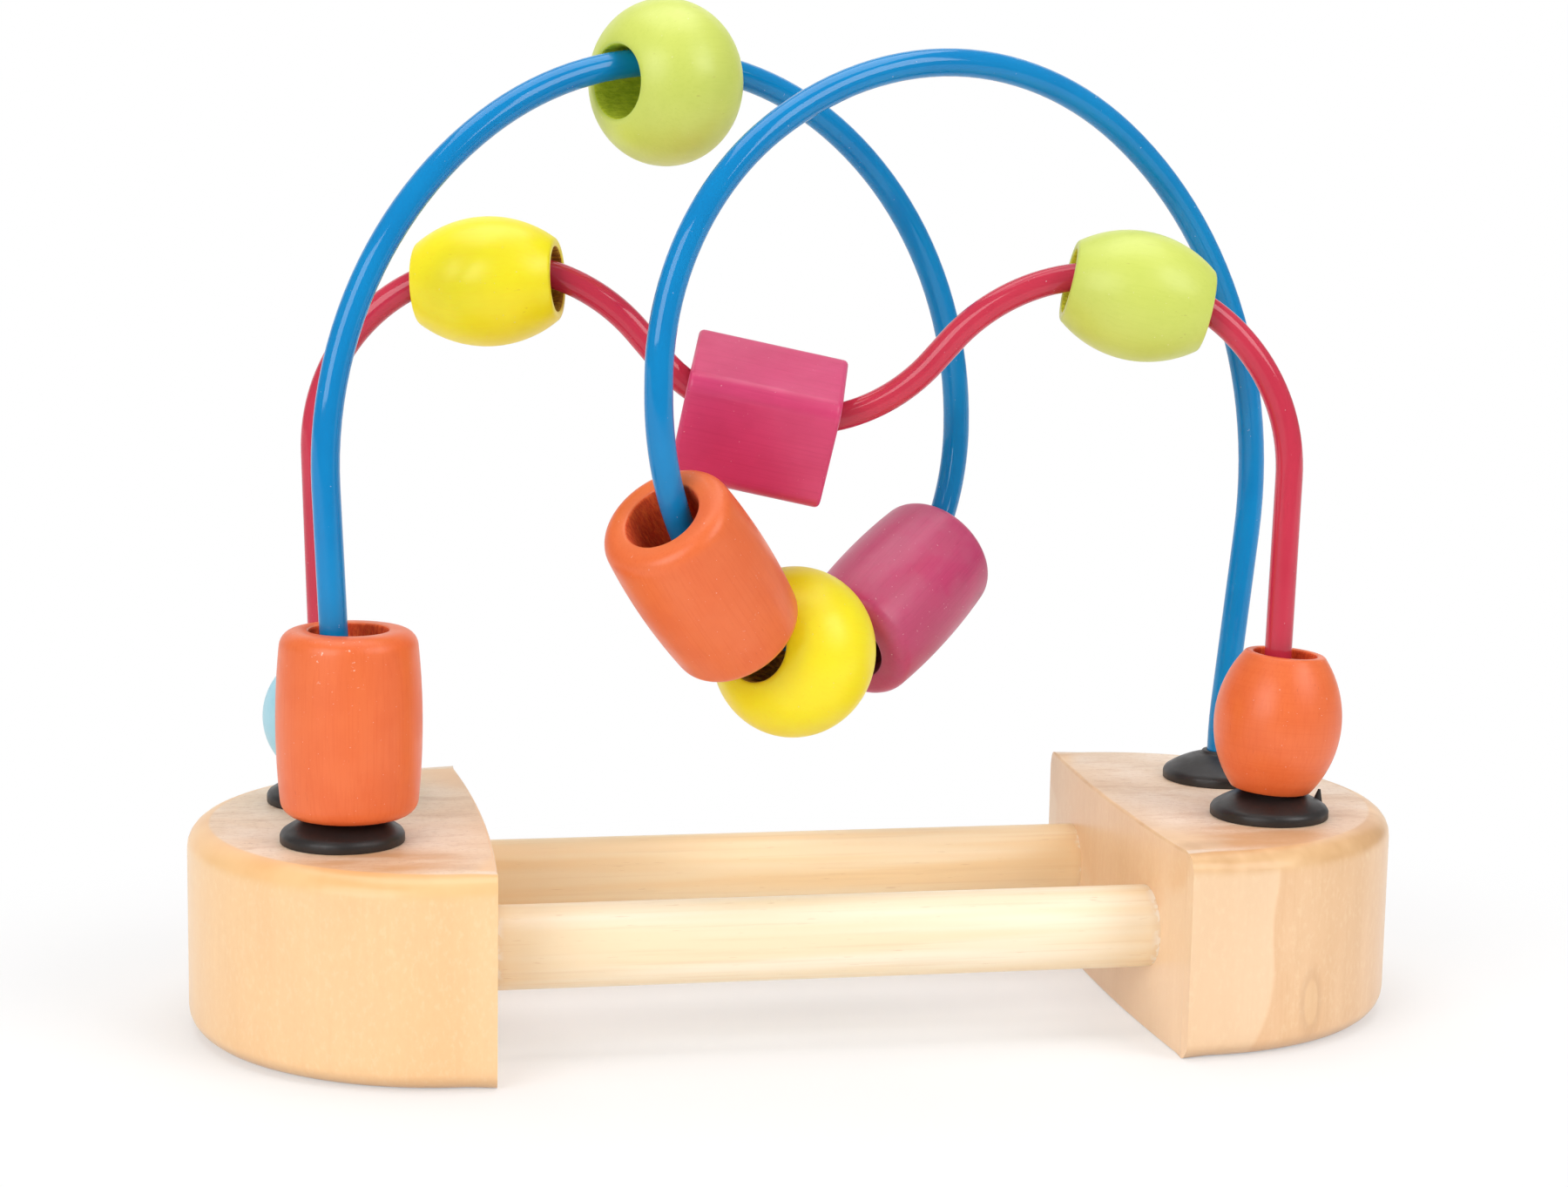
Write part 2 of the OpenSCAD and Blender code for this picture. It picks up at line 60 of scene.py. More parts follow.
# Wires
WIRE_R = 2
WIRE_SIDES = 28
BEND_STEP = 2.5
FOOT_X = BLOCK_GAP / 2 + 19.5
BACK_FOOT_OUT = 1
FOOT_Y = 13
FOOT_RISE = 5
FOOT_BEND = 60
FOOT_Z = BLOCK_H + FOOT_RISE
WIRE_END_Z = 12.05
LEFT_RISE = 109.2
RIGHT_RISE = 109.8
SHOULDER_TURN = 55
LEFT_OUTER_R = 57.5
LEFT_INNER_R = 56.2
RIGHT_INNER_R = 41.4
RIGHT_OUTER_R = 65.4
LEFT_LEAN = 2.9
RIGHT_LEAN = 6.9
LOOP_RIGHT = 28.3
LOOP_LEFT = 25.9
LOOP_DEPTH = 48
LOOP_SHIFT = 5.6
RIGHT_DROP = 29.3
LEFT_DROP = 39.6
LOOP_SIDE_TURN = 45
HUMP_RISE = 79.7
DIP_DEPTH = 22
DIP_SLOPE = 49
LEFT_HUMP_R = 26.8
RIGHT_HUMP_R = 28.5
RED_LEFT_LEAN = 1.8
RED_RIGHT_LEAN = 1.1

# Covers at the feet of the wires
COVER_R = 8.75
COVER_RIM = 1.4
COVER_DOME = 4.3
COVER_SOFT = 0.35
COVER_BORE_R = WIRE_R + 0.05
COLLAR_R = 2.8
COLLAR_H = 4.5
COLLAR_SOFT = 0.25
FIN_OUT = 8.1
FIN_Z = 2.1
FIN_TILT = 8
FIN_THIN = 0.5
FIN_R = 1.15
FIN_TIP_R = 0.2
FIN_H = 2.8
DOME_R = (COVER_R ** 2 + (COVER_DOME - COVER_RIM) ** 2) / (2 * (COVER_DOME - COVER_RIM))

# Beads
PLAY = 0.3
MOUTH = 0.5
MOUTH_MID_OUT = 0.15
MOUTH_MID_IN = 0.35
CYLINDER_D = 20.5
CYLINDER_END_D = 18.9
CYLINDER_LEN = 26.4
CYLINDER_ROUND = 2.4
CYLINDER_BORE_R = 5.5
BALL_D = 25.2
GREEN_BALL_D = 24
SMALL_BALL_D = 22.5
BALL_LEN = 19.4
BALL_BORE_R = 5.2
BARREL_D = 18.8
BARREL_END_D = 11.6
BARREL_LEN = 20.6
BARREL_ROUND = 0.8
BARREL_BORE_R = 4.6
SQUARE_W = 17.6
SQUARE_LEN = 22.4
SQUARE_ROUND = 2.6
SQUARE_END_ROUND = 0.8
SQUARE_BORE_R = 5.1
GREEN_BALL_AT = 0
GREEN_BALL_TURN = 10
YELLOW_BARREL_AT = -3.5
YELLOW_BARREL_TURN = 8
GREEN_BARREL_AT = 11.8
SQUARE_AT = -11.4
SQUARE_TURN = 22
LOOP_BALL_AT = 13
CYLINDER_SLIDE = 1.1
SMALL_BALL_SLIDE = 2
BARREL_TILT = 4

# Camera, from the photograph's vanishing lines
CAMERA_AT = Vector((-90.887, -446.208, 134.586))
CAMERA_YAW = 0.194
CAMERA_PITCH = 0.1576
CAMERA_ROLL = -0.0175
CAMERA_LENS = 71.813
SENSOR_WIDTH = 36

# Studio, in metres: the width of its sheets, and where the lamps point
STUDIO = 6
LAMP_AIM = Vector((0, 0, 0.06))
PURE_WHITE = (1, 1, 1, 1)
PAPER_WHITE = (0.95, 0.94, 0.94, 1)
STUDIO_GREY = (0.34, 0.34, 0.34, 1)


def sin(degrees):
    return math.sin(math.radians(degrees))


def cos(degrees):
    return math.cos(math.radians(degrees))


# Routes of the wires: each run lies in an upright plane


class Run:
    """A stretch of wire: a start and a direction in plan, a first state and its straight and bent pieces."""

    def __init__(self, start, end, height, heading, pieces):
        self.start = Vector(start)
        self.turn = math.degrees(math.atan2(end[1] - start[1], end[0] - start[0]))
        self.pieces = pieces
        self.states = [(0.0, height, heading)]
        for piece in pieces:
            self.states.append(self.state_after(self.states[-1], piece))

    def state_after(self, state, piece):
        along, height, heading = state
        if len(piece) == 1:
            return along + piece[0] * cos(heading), height + piece[0] * sin(heading), heading
        centre = self.arc_centre(state, piece)
        reach = math.copysign(piece[0], piece[1])
        heading += piece[1]
        return centre[0] + reach * sin(heading), centre[1] - reach * cos(heading), heading

    def arc_centre(self, state, piece):
        reach = math.copysign(piece[0], piece[1])
        return state[0] - reach * sin(state[2]), state[1] + reach * cos(state[2])

    def point(self, along, height):
        across = self.start[0] + along * cos(self.turn)
        depth = self.start[1] + along * sin(self.turn)
        return Vector((across, depth, height))

    def bend_axis(self):
        return Vector((sin(self.turn), -cos(self.turn), 0))

    def on_arc(self, number, at, radius):
        """Place of a bead on an arc, at an angle past its top or bottom, with its bore along the wire."""
        piece = self.pieces[number]
        centre = self.arc_centre(self.states[number], piece)
        side = -math.copysign(1, piece[1])
        middle = self.point(centre[0] + radius * sin(at), centre[1] + side * radius * cos(at))
        return Matrix.Translation(middle) @ turned(self.turn, "Z") @ turned(90 + side * at, "Y")

    def on_foot(self, along, height, lean, half_length):
        """Place of a bead that stands at a foot and leans along its run."""
        foot = Matrix.Translation(self.point(along, height)) @ turned(self.turn, "Z") @ turned(lean, "Y")
        return foot @ Matrix.Translation((0, 0, half_length))


def turned(degrees, axis):
    return Matrix.Rotation(math.radians(degrees), 4, axis)


def plan_length(start, end):
    return math.hypot(end[0] - start[0], end[1] - start[1])


def arch_fit(width, rise, outer_r, inner_r, lean):
    """Crown radius and leg length of an arch of a given width."""
    reach = width + FOOT_BEND * (1 - cos(lean)) - outer_r * (cos(lean) - cos(SHOULDER_TURN))
    reach -= inner_r * (1 - cos(SHOULDER_TURN))
    height = rise - FOOT_RISE - FOOT_BEND * sin(lean) - outer_r * (sin(SHOULDER_TURN) + sin(lean))
    flat = 1 - sin(SHOULDER_TURN)
    both = 2 * cos(SHOULDER_TURN)
    share = both * cos(lean) + flat * sin(lean)
    return (reach * cos(lean) + height * sin(lean)) / share, (both * height - flat * reach) / share


def inner_end_z(rise, crown_r, inner_r):
    return BLOCK_H + rise - crown_r * (1 - sin(SHOULDER_TURN)) - inner_r * sin(SHOULDER_TURN)


def loop_radii(reach, drop):
    """Radii of a loop's side and of its half of the bottom."""
    near = 1 - cos(LOOP_SIDE_TURN)
    far = 1 - sin(LOOP_SIDE_TURN)
    mix = near * far - cos(LOOP_SIDE_TURN) * sin(LOOP_SIDE_TURN)
    return (reach * far - drop * cos(LOOP_SIDE_TURN)) / mix, (drop * near - reach * sin(LOOP_SIDE_TURN)) / mix


LEFT_FRONT = (-FOOT_X, -FOOT_Y)
LEFT_BACK = (-FOOT_X - BACK_FOOT_OUT, FOOT_Y)
RIGHT_FRONT = (FOOT_X, -FOOT_Y)
RIGHT_BACK = (FOOT_X + BACK_FOOT_OUT, FOOT_Y)
LOOP_BACK = (LOOP_RIGHT, LOOP_DEPTH / 2)
LOOP_FRONT = (-LOOP_LEFT, -LOOP_DEPTH / 2)


def blue_routes():
    left_crown, left_leg = arch_fit(plan_length(LEFT_FRONT, LOOP_BACK), LEFT_RISE, LEFT_OUTER_R, LEFT_INNER_R,
                                    LEFT_LEAN)
    right_crown, right_leg = arch_fit(plan_length(LOOP_FRONT, RIGHT_BACK), RIGHT_RISE, RIGHT_OUTER_R,
                                      RIGHT_INNER_R, RIGHT_LEAN)
    left_end = inner_end_z(LEFT_RISE, left_crown, LEFT_INNER_R)
    right_end = inner_end_z(RIGHT_RISE, right_crown, RIGHT_INNER_R)
    half = plan_length(LOOP_BACK, LOOP_FRONT) / 2
    right_side, right_bottom = loop_radii(half - LOOP_SHIFT, RIGHT_DROP)
    left_side, left_bottom = loop_radii(half + LOOP_SHIFT, LEFT_DROP)
    straight = right_end - (left_end - RIGHT_DROP + LEFT_DROP)
    foot = FOOT_Z - WIRE_END_Z
    left_arch = Run(LEFT_FRONT, LOOP_BACK, WIRE_END_Z, 90, [
        (foot,), (FOOT_BEND, LEFT_LEAN), (left_leg,), (LEFT_OUTER_R, -SHOULDER_TURN - LEFT_LEAN),
        (left_crown, 2 * SHOULDER_TURN - 180), (LEFT_INNER_R, -SHOULDER_TURN)])
    loop = Run(LOOP_BACK, LOOP_FRONT, left_end, -90, [
        (right_side, LOOP_SIDE_TURN), (right_bottom, 90 - LOOP_SIDE_TURN), (left_bottom, 90 - LOOP_SIDE_TURN),
        (left_side, LOOP_SIDE_TURN), (straight,)])
    right_arch = Run(LOOP_FRONT, RIGHT_BACK, right_end, 90, [
        (RIGHT_INNER_R, -SHOULDER_TURN), (right_crown, 2 * SHOULDER_TURN - 180),
        (RIGHT_OUTER_R, -SHOULDER_TURN - RIGHT_LEAN), (right_leg,), (FOOT_BEND, RIGHT_LEAN), (foot,)])
    return left_arch, loop, right_arch


def hump_leg(radius, lean):
    return (HUMP_RISE - FOOT_RISE - FOOT_BEND * sin(lean) - radius * (1 + sin(lean))) / cos(lean)


def hump_reach(radius, lean):
    bend = FOOT_BEND * (1 - cos(lean))
    return radius * (cos(lean) + sin(DIP_SLOPE)) - bend - hump_leg(radius, lean) * sin(lean)


def red_route():
    flat = 1 - cos(DIP_SLOPE)
    reach = plan_length(LEFT_BACK, RIGHT_FRONT)
    reach -= hump_reach(LEFT_HUMP_R, RED_LEFT_LEAN) + hump_reach(RIGHT_HUMP_R, RED_RIGHT_LEAN)
    drop = 2 * DIP_DEPTH - (LEFT_HUMP_R + RIGHT_HUMP_R) * flat
    share = 2 * sin(DIP_SLOPE) ** 2 - 2 * flat * cos(DIP_SLOPE)
    dip_r = (reach * sin(DIP_SLOPE) - cos(DIP_SLOPE) * drop) / share
    left_slope = (DIP_DEPTH - (LEFT_HUMP_R + dip_r) * flat) / sin(DIP_SLOPE)
    right_slope = (DIP_DEPTH - (RIGHT_HUMP_R + dip_r) * flat) / sin(DIP_SLOPE)
    foot = FOOT_Z - WIRE_END_Z
    return Run(LEFT_BACK, RIGHT_FRONT, WIRE_END_Z, 90, [
        (foot,), (FOOT_BEND, RED_LEFT_LEAN), (hump_leg(LEFT_HUMP_R, RED_LEFT_LEAN),),
        (LEFT_HUMP_R, -90 - RED_LEFT_LEAN - DIP_SLOPE), (left_slope,), (dip_r, 2 * DIP_SLOPE), (right_slope,),
        (RIGHT_HUMP_R, -90 - RED_RIGHT_LEAN - DIP_SLOPE), (hump_leg(RIGHT_HUMP_R, RED_RIGHT_LEAN),),
        (FOOT_BEND, RED_RIGHT_LEAN), (foot,)])


# Finishes


def tone(red, green, blue):
    """A colour as it is read off a screen, turned into light."""
    shares = [value / 255 for value in (red, green, blue)]
    light = [share / 12.92 if share <= 0.04045 else ((share + 0.055) / 1.055) ** 2.4 for share in shares]
    return (*light, 1.0)


def new_finish(name):
    material = bpy.data.materials.new(name)
    material.use_nodes = True
    tree = material.node_tree
    return material, tree, tree.nodes["Principled BSDF"]


def put(tree, kind, sockets=None, **settings):
    """Adds a node, makes its settings and fills or links its sockets."""
    made = tree.nodes.new(kind)
    for key, value in settings.items():
        setattr(made, key, value)
    feed(tree, made, sockets or {})
    return made


def feed(tree, node, sockets):
    """Fills a node's sockets with values, or links them."""
    for key, value in sockets.items():
        if isinstance(value, bpy.types.NodeSocket):
            tree.links.new(value, node.inputs[key])
        else:
            node.inputs[key].default_value = value


def noise(tree, coords, scale, detail=3.0, roughness=0.55):
    made = put(tree, "ShaderNodeTexNoise", {"Vector": coords, "Scale": scale, "Detail": detail,
                                            "Roughness": roughness})
    return made.outputs["Fac"]


def stretched(tree, coords, scale, location=(0, 0, 0)):
    return put(tree, "ShaderNodeMapping", {"Vector": coords, "Location": location, "Scale": scale}).outputs[0]


def remap(tree, value, low, high, to_low=0.0, to_high=1.0):
    made = put(tree, "ShaderNodeMapRange", {"Value": value, "From Min": low, "From Max": high,
                                            "To Min": to_low, "To Max": to_high},
               interpolation_type="SMOOTHSTEP")
    return made.outputs["Result"]


def blend(tree, share, first, second, way="MIX"):
    return put(tree, "ShaderNodeMix", {0: share, 6: first, 7: second}, data_type="RGBA",
               blend_type=way).outputs[2]


def maths(tree, way, first, second):
    return put(tree, "ShaderNodeMath", {0: first, 1: second}, operation=way).outputs[0]


def length(tree, vector):
    return put(tree, "ShaderNodeVectorMath", {0: vector}, operation="LENGTH").outputs["Value"]


def part_of(tree, vector, number):
    return put(tree, "ShaderNodeSeparateXYZ", {0: vector}).outputs[number]


def size_of(tree, value):
    return put(tree, "ShaderNodeMath", {0: value}, operation="ABSOLUTE").outputs[0]


def bump(tree, height, strength, distance):
    made = put(tree, "ShaderNodeBump", {"Height": height, "Strength": strength, "Distance": distance * MM})
    return made.outputs["Normal"]


def in_millimetres(tree, location=(0, 0, 0)):
    coords = put(tree, "ShaderNodeTexCoord").outputs["Object"]
    return stretched(tree, coords, (1000, 1000, 1000), location)


def on_bead(tree):
    """Place on a bead in millimetres, measured from its middle with its bore upright."""
    return put(tree, "ShaderNodeAttribute", attribute_name="bead_place").outputs["Vector"]


def block_beech(name, location, side_tones, end_tones, round_tones, streaks, stain_x, knotty=False):
    """Lacquered beech with upright fibres, so that its top and underside are end grain, with painted shade on
    its lower roundover.
    """
    material, tree, shader = new_finish(name)
    coords = in_millimetres(tree, location)
    bands = noise(tree, stretched(tree, coords, (0.09, 0.09, 0.01)), 1.0, 3.0)
    fibres = noise(tree, stretched(tree, coords, (1.7, 1.7, 0.08)), 1.0, 4.0)
    mottle = noise(tree, stretched(tree, coords, (1.0, 1.0, 0.6)), 1.3, 4.0, 0.6)
    clouds = noise(tree, coords, 0.1, 3.0)
    side = blend(tree, remap(tree, bands, 0.3, 0.7), *side_tones)
    side = blend(tree, remap(tree, fibres, 0.45, 0.75, 0.0, streaks), side, tone(218, 166, 112))
    side = blend(tree, remap(tree, mottle, 0.48, 0.72, 0.0, 0.24), side, tone(255, 229, 190))
    side = blend(tree, remap(tree, mottle, 0.46, 0.3, 0.0, 0.1), side, tone(228, 180, 126))
    side = blend(tree, remap(tree, clouds, 0.4, 0.65, 0.0, 2 * streaks), side, tone(232, 188, 142))
    flecks = noise(tree, stretched(tree, coords, (0.5, 1.8, 1.0)), 1.0, 4.0, 0.6)
    pores = put(tree, "ShaderNodeTexVoronoi", {"Vector": coords, "Scale": 0.9}).outputs["Distance"]
    smears = noise(tree, stretched(tree, coords, (0.07, 0.28, 0.1)), 1.0, 4.0, 0.6)
    end = blend(tree, remap(tree, clouds, 0.35, 0.65), *end_tones)
    end = blend(tree, remap(tree, mottle, 0.45, 0.75, 0.0, 0.35), end, tone(214, 176, 140))
    end = blend(tree, remap(tree, smears, 0.5, 0.68, 0.0, 0.36), end, tone(200, 152, 108))
    end = blend(tree, remap(tree, flecks, 0.55, 0.75, 0.0, 0.45), end, tone(178, 134, 102))
    end = blend(tree, remap(tree, pores, 0.12, 0.04, 0.0, 0.5), end, tone(142, 78, 62))
    facing = part_of(tree, put(tree, "ShaderNodeNewGeometry").outputs["Normal"], 2)
    upright = size_of(tree, facing)
    rounding = blend(tree, remap(tree, maths(tree, "ADD", bands, clouds), 0.75, 1.25), *round_tones)
    if knotty:
        side = knot_figure(tree, side)
    end = front_smear(tree, end, smears, stain_x)
    colour = blend(tree, remap(tree, facing, 0.1, 0.45), side, rounding)
    # Painted shade: faces that turn downwards, on the lower roundover, are darkened towards a brown tone.
    colour = blend(tree, remap(tree, facing, -0.2, -0.7, 0.0, 0.4), colour, tone(196, 160, 122))
    colour = blend(tree, remap(tree, upright, 0.98, 0.999), colour, end)
    feed(tree, shader, {"Base Color": colour, "Roughness": remap(tree, upright, 0.98, 0.999, 0.29, 0.45)})
    return material


def knot_figure(tree, side):
    """A change of tone up the front of the right block, and a long knot near its foot."""
    coords = in_millimetres(tree)
    wander = noise(tree, coords, 0.06, 1.0)
    lean = (1, 0, -0.143)
    across = put(tree, "ShaderNodeVectorMath", {0: coords, 1: lean}, operation="DOT_PRODUCT").outputs[1]
    across = maths(tree, "ADD", across, remap(tree, wander, 0.3, 0.7, -1.5, 1.5))
    pale = maths(tree, "MULTIPLY", remap(tree, across, 59.2, 58.4), remap(tree, across, 45.0, 46.0))
    side = blend(tree, maths(tree, "MULTIPLY", pale, 0.4), side, tone(251, 224, 190))
    seam = maths(tree, "MULTIPLY", remap(tree, across, 58.6, 59.4), remap(tree, across, 63.0, 59.6, 0.0, 0.25))
    side = blend(tree, seam, side, tone(222, 168, 118))
    oval = stretched(tree, coords, (0.7, 0.7, 0.27), (-48.0, 23.5, -1.9))
    reach = length(tree, oval)
    reach = maths(tree, "ADD", reach, remap(tree, wander, 0.3, 0.7, -0.15, 0.15))
    side = blend(tree, remap(tree, reach, 1.0, 0.7, 0.0, 0.5), side, tone(236, 196, 148))
    ring = maths(tree, "MULTIPLY", remap(tree, reach, 0.7, 1.0), remap(tree, reach, 1.9, 1.0, 0.0, 0.22))
    return blend(tree, ring, side, tone(186, 132, 84))


def front_smear(tree, end, smears, stain_x):
    """Brown stain on the front of a block's top."""
    around = stretched(tree, in_millimetres(tree), (0.06, 0.11, 0.1), (-0.06 * stain_x, 2.9, -3.0))
    away = length(tree, around)
    stain = maths(tree, "MULTIPLY", remap(tree, away, 1.1, 0.4), remap(tree, smears, 0.3, 0.55, 0.3, 0.8))
    return blend(tree, stain, end, tone(220, 166, 112))


def dowel_beech(name, pale, deep):
    """Paler turned wood with its fibres along the dowel, painted shade where it goes into the blocks, and
    traces of glue by the blocks.
    """
    material, tree, shader = new_finish(name)
    coords = in_millimetres(tree)
    fibres = noise(tree, stretched(tree, coords, (0.03, 1.3, 1.3)), 1.0, 4.0)
    bands = noise(tree, stretched(tree, coords, (0.012, 0.25, 0.25)), 1.0, 2.0)
    flecks = noise(tree, stretched(tree, coords, (0.25, 2.2, 2.2)), 1.0, 2.0)
    colour = blend(tree, remap(tree, bands, 0.35, 0.65), pale, deep)
    colour = blend(tree, remap(tree, fibres, 0.5, 0.75, 0.0, 0.25), colour, tone(228, 190, 142))
    colour = blend(tree, remap(tree, flecks, 0.66, 0.76, 0.0, 0.25), colour, tone(206, 160, 112))
    outward = size_of(tree, part_of(tree, coords, 0))
    drips = noise(tree, coords, 0.45, 3.0)
    edge = maths(tree, "MULTIPLY", remap(tree, outward, 46.6, 48.2), remap(tree, drips, 0.5, 0.58))
    # Painted shade: the dowel darkens towards its ends, where it goes into the blocks.
    colour = blend(tree, remap(tree, outward, 46.2, 48.6, 0.0, 0.22), colour, tone(196, 150, 102))
    colour = blend(tree, maths(tree, "MULTIPLY", edge, 0.7), colour, tone(255, 250, 240))
    relief = bump(tree, maths(tree, "ADD", fibres, edge), 0.12, 0.15)
    feed(tree, shader, {"Base Color": colour, "Roughness": remap(tree, fibres, 0.3, 0.7, 0.36, 0.48),
                        "Normal": relief})
    return material


def bead_paint(name, colour, deep, rings=0.0, dust_and_sheen=0.0, dents=None):
    """Satin paint on turned wood: fine grain along the bore, lines from the lathe, specks and small dents; a
    paint can be given more specks, and pale clouds that are partly dust and partly painted sheen.
    """
    material, tree, shader = new_finish(name)
    coords = on_bead(tree)
    grain = noise(tree, stretched(tree, coords, (2.6, 2.6, 0.06)), 1.0, 4.0, 0.6)
    dashes = noise(tree, stretched(tree, coords, (2.4, 2.4, 0.4)), 1.0, 2.0)
    lines = noise(tree, stretched(tree, coords, (0.04, 0.04, 2.8)), 1.0, 2.0)
    cloud = noise(tree, coords, 0.16, 3.0)
    chips = noise(tree, coords, 2.4, 2.0)
    painted = blend(tree, remap(tree, cloud, 0.3, 0.7, 0.0, 0.3), colour, deep)
    painted = blend(tree, remap(tree, grain, 0.45, 0.7, 0.0, 0.26), painted, deep)
    painted = blend(tree, remap(tree, lines, 0.45, 0.7, 0.0, rings), painted, deep)
    painted = blend(tree, remap(tree, dashes, 0.7, 0.78, 0.0, 0.35), painted, (0.7, 0.55, 0.55, 1), "MULTIPLY")
    painted = blend(tree, remap(tree, chips, 0.73 - 0.05 * dust_and_sheen, 0.77, 0.0, 0.45), painted, tone(252, 238, 228))
    # Pale pink clouds, partly dust and partly painted sheen.
    painted = blend(tree, remap(tree, cloud, 0.35, 0.6, 0.0, 0.2 * dust_and_sheen), painted, tone(226, 164, 178))
    height = maths(tree, "ADD", grain, cloud)
    height = maths(tree, "ADD", height, remap(tree, lines, 0.3, 0.7, 0.0, rings))
    if dents:
        place = stretched(tree, coords, (1, 1, 1), [-value for value in dents])
        near = length(tree, place)
        pits = noise(tree, stretched(tree, coords, (1.3, 1.3, 1.9)), 1.0, 2.0)
        pits = maths(tree, "MULTIPLY", remap(tree, near, 5.5, 3.0), remap(tree, pits, 0.66, 0.73))
        painted = blend(tree, maths(tree, "MULTIPLY", pits, 0.55), painted, tone(255, 226, 208))
        height = maths(tree, "SUBTRACT", height, maths(tree, "MULTIPLY", pits, 2.0))
    relief = bump(tree, height, 0.1, 0.15)
    feed(tree, shader, {"Base Color": painted, "Roughness": remap(tree, cloud, 0.3, 0.7, 0.32, 0.42),
                        "Specular IOR Level": 0.5, "Normal": relief})
    return material


def bore_wood(name, colour, dark):
    """Rough drilled wood, stained by the paint."""
    material, tree, shader = new_finish(name)
    coords = on_bead(tree)
    tear = noise(tree, stretched(tree, coords, (2.2, 2.2, 0.6)), 1.0, 5.0, 0.7)
    stain = blend(tree, remap(tree, tear, 0.35, 0.7), dark, colour)
    feed(tree, shader, {"Base Color": stain, "Roughness": 0.85, "Normal": bump(tree, tear, 0.6, 0.5)})
    return material


def wire_coat(name, colour, deep):
    """Glossy coat over steel wire, with a few specks of dust."""
    material, tree, shader = new_finish(name)
    coords = in_millimetres(tree)
    cloud = noise(tree, coords, 0.08, 2.0)
    specks = noise(tree, coords, 2.2, 1.0)
    coated = blend(tree, remap(tree, cloud, 0.35, 0.65, 0.0, 0.35), colour, deep)
    coated = blend(tree, remap(tree, specks, 0.78, 0.82, 0.0, 0.5), coated, tone(225, 232, 240))
    feed(tree, shader, {"Base Color": coated, "Roughness": 0.08, "Specular IOR Level": 0.4})
    return material


def black_plastic(name):
    """Satin moulded plastic with fine scuffs."""
    material, tree, shader = new_finish(name)
    coords = in_millimetres(tree)
    scuffs = noise(tree, stretched(tree, coords, (2.5, 0.7, 2.5)), 1.0, 4.0, 0.7)
    cloud = noise(tree, coords, 0.35, 3.0)
    colour = blend(tree, remap(tree, scuffs, 0.6, 0.78, 0.0, 0.5), tone(37, 33, 32), tone(82, 78, 76))
    feed(tree, shader, {"Base Color": colour, "Roughness": remap(tree, cloud, 0.3, 0.7, 0.36, 0.5),
                        "Normal": bump(tree, scuffs, 0.1, 0.1)})
    return material


# Shaping of the pieces, drawn in millimetres


def verts_in(geom):
    return [item for item in geom if isinstance(item, bmesh.types.BMVert)]


def draw_line(bm, end, to):
    """Draws a straight edge from an end vertex and gives the new end."""
    made = bmesh.ops.extrude_vert_indiv(bm, verts=[end])
    made["verts"][0].co = to
    return made["verts"][0]


def draw_arc(bm, end, centre, angle, steps, axis=(0, -1, 0)):
    """Draws an arc from an end vertex round a centre and gives the new end."""
    made = bmesh.ops.spin(bm, geom=[end], cent=centre, axis=axis, angle=math.radians(angle), steps=steps)
    return verts_in(made["geom_last"])[0]


def close_outline(bm, first, last):
    """Joins the two ends of an outline that come together."""
    bmesh.ops.weld_verts(bm, targetmap={last: first})


def turn_on_lathe(bm, steps=96):
    bmesh.ops.spin(bm, geom=bm.verts[:] + bm.edges[:], cent=(0, 0, 0), axis=UP, angle=math.tau, steps=steps,
                   use_merge=True)


def finish_piece(bm, name, body, replaced, finishes, place=None, sharp=40):
    """Tidies a mesh, puts it in its place and hangs the finished piece on its body."""
    bmesh.ops.remove_doubles(bm, verts=bm.verts, dist=WELD)
    bmesh.ops.recalc_face_normals(bm, faces=bm.faces)
    if place:
        bmesh.ops.transform(bm, matrix=place, verts=bm.verts)
    bmesh.ops.scale(bm, vec=(MM, MM, MM), verts=bm.verts)
    mesh = bpy.data.meshes.new(name)
    bm.to_mesh(mesh)
    bm.free()
    for finish in finishes:
        mesh.materials.append(finish)
    mesh.shade_smooth()
    mesh.set_sharp_from_angle(angle=math.radians(sharp))
    piece = bpy.data.objects.new(name, mesh)
    bpy.context.scene.collection.objects.link(piece)
    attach(piece, body)
    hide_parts(replaced)


def make_block(name, turn, node, finish):
    """A block with a bowed inner face, rounded along the top and bottom of its sides and its end."""
    bm = bmesh.new()
    half = BLOCK_W / 2
    bow_r = (half ** 2 + FACE_BOW ** 2) / (2 * FACE_BOW)
    first = bm.verts.new((0, -half, 0))
    end = draw_line(bm, first, (BLOCK_FLAT, -half, 0))
    end = draw_arc(bm, end, (BLOCK_FLAT, 0, 0), 180, 72, UP)
    end = draw_line(bm, end, (0, half, 0))
    swing = 2 * math.degrees(math.asin(half / bow_r))
    end = draw_arc(bm, end, (bow_r - FACE_BOW, 0, 0), swing, 32, UP)
    close_outline(bm, first, end)
    base = bmesh.ops.contextual_create(bm, geom=bm.edges[:])["faces"]
    made = bmesh.ops.extrude_face_region(bm, geom=base)
    bmesh.ops.translate(bm, vec=(0, 0, BLOCK_H), verts=verts_in(made["geom"]))

    def on_inner_face(vert):
        return abs(math.hypot(vert.co.x - bow_r + FACE_BOW, vert.co.y) - bow_r) < WELD

    level = [edge for edge in bm.edges if edge.verts[0].co.z == edge.verts[1].co.z]
    outer = [edge for edge in level if not all(on_inner_face(vert) for vert in edge.verts)]
    bmesh.ops.bevel(bm, geom=outer, offset=BLOCK_ROUND, offset_type="OFFSET", affect="EDGES", segments=6,
                    profile=0.5, material=-1)
    rim = [edge for edge in bm.edges if len(edge.link_faces) == 2
           and sum(all(on_inner_face(vert) for vert in face.verts) for face in edge.link_faces) == 1]
    bmesh.ops.bevel(bm, geom=rim, offset=EASED_EDGE, offset_type="OFFSET", affect="EDGES", segments=3,
                    profile=0.5, material=-1)
    place = turned(turn, "Z") @ Matrix.Translation((BLOCK_GAP / 2, 0, 0))
    finish_piece(bm, name, "base", node, [finish], place, 30)


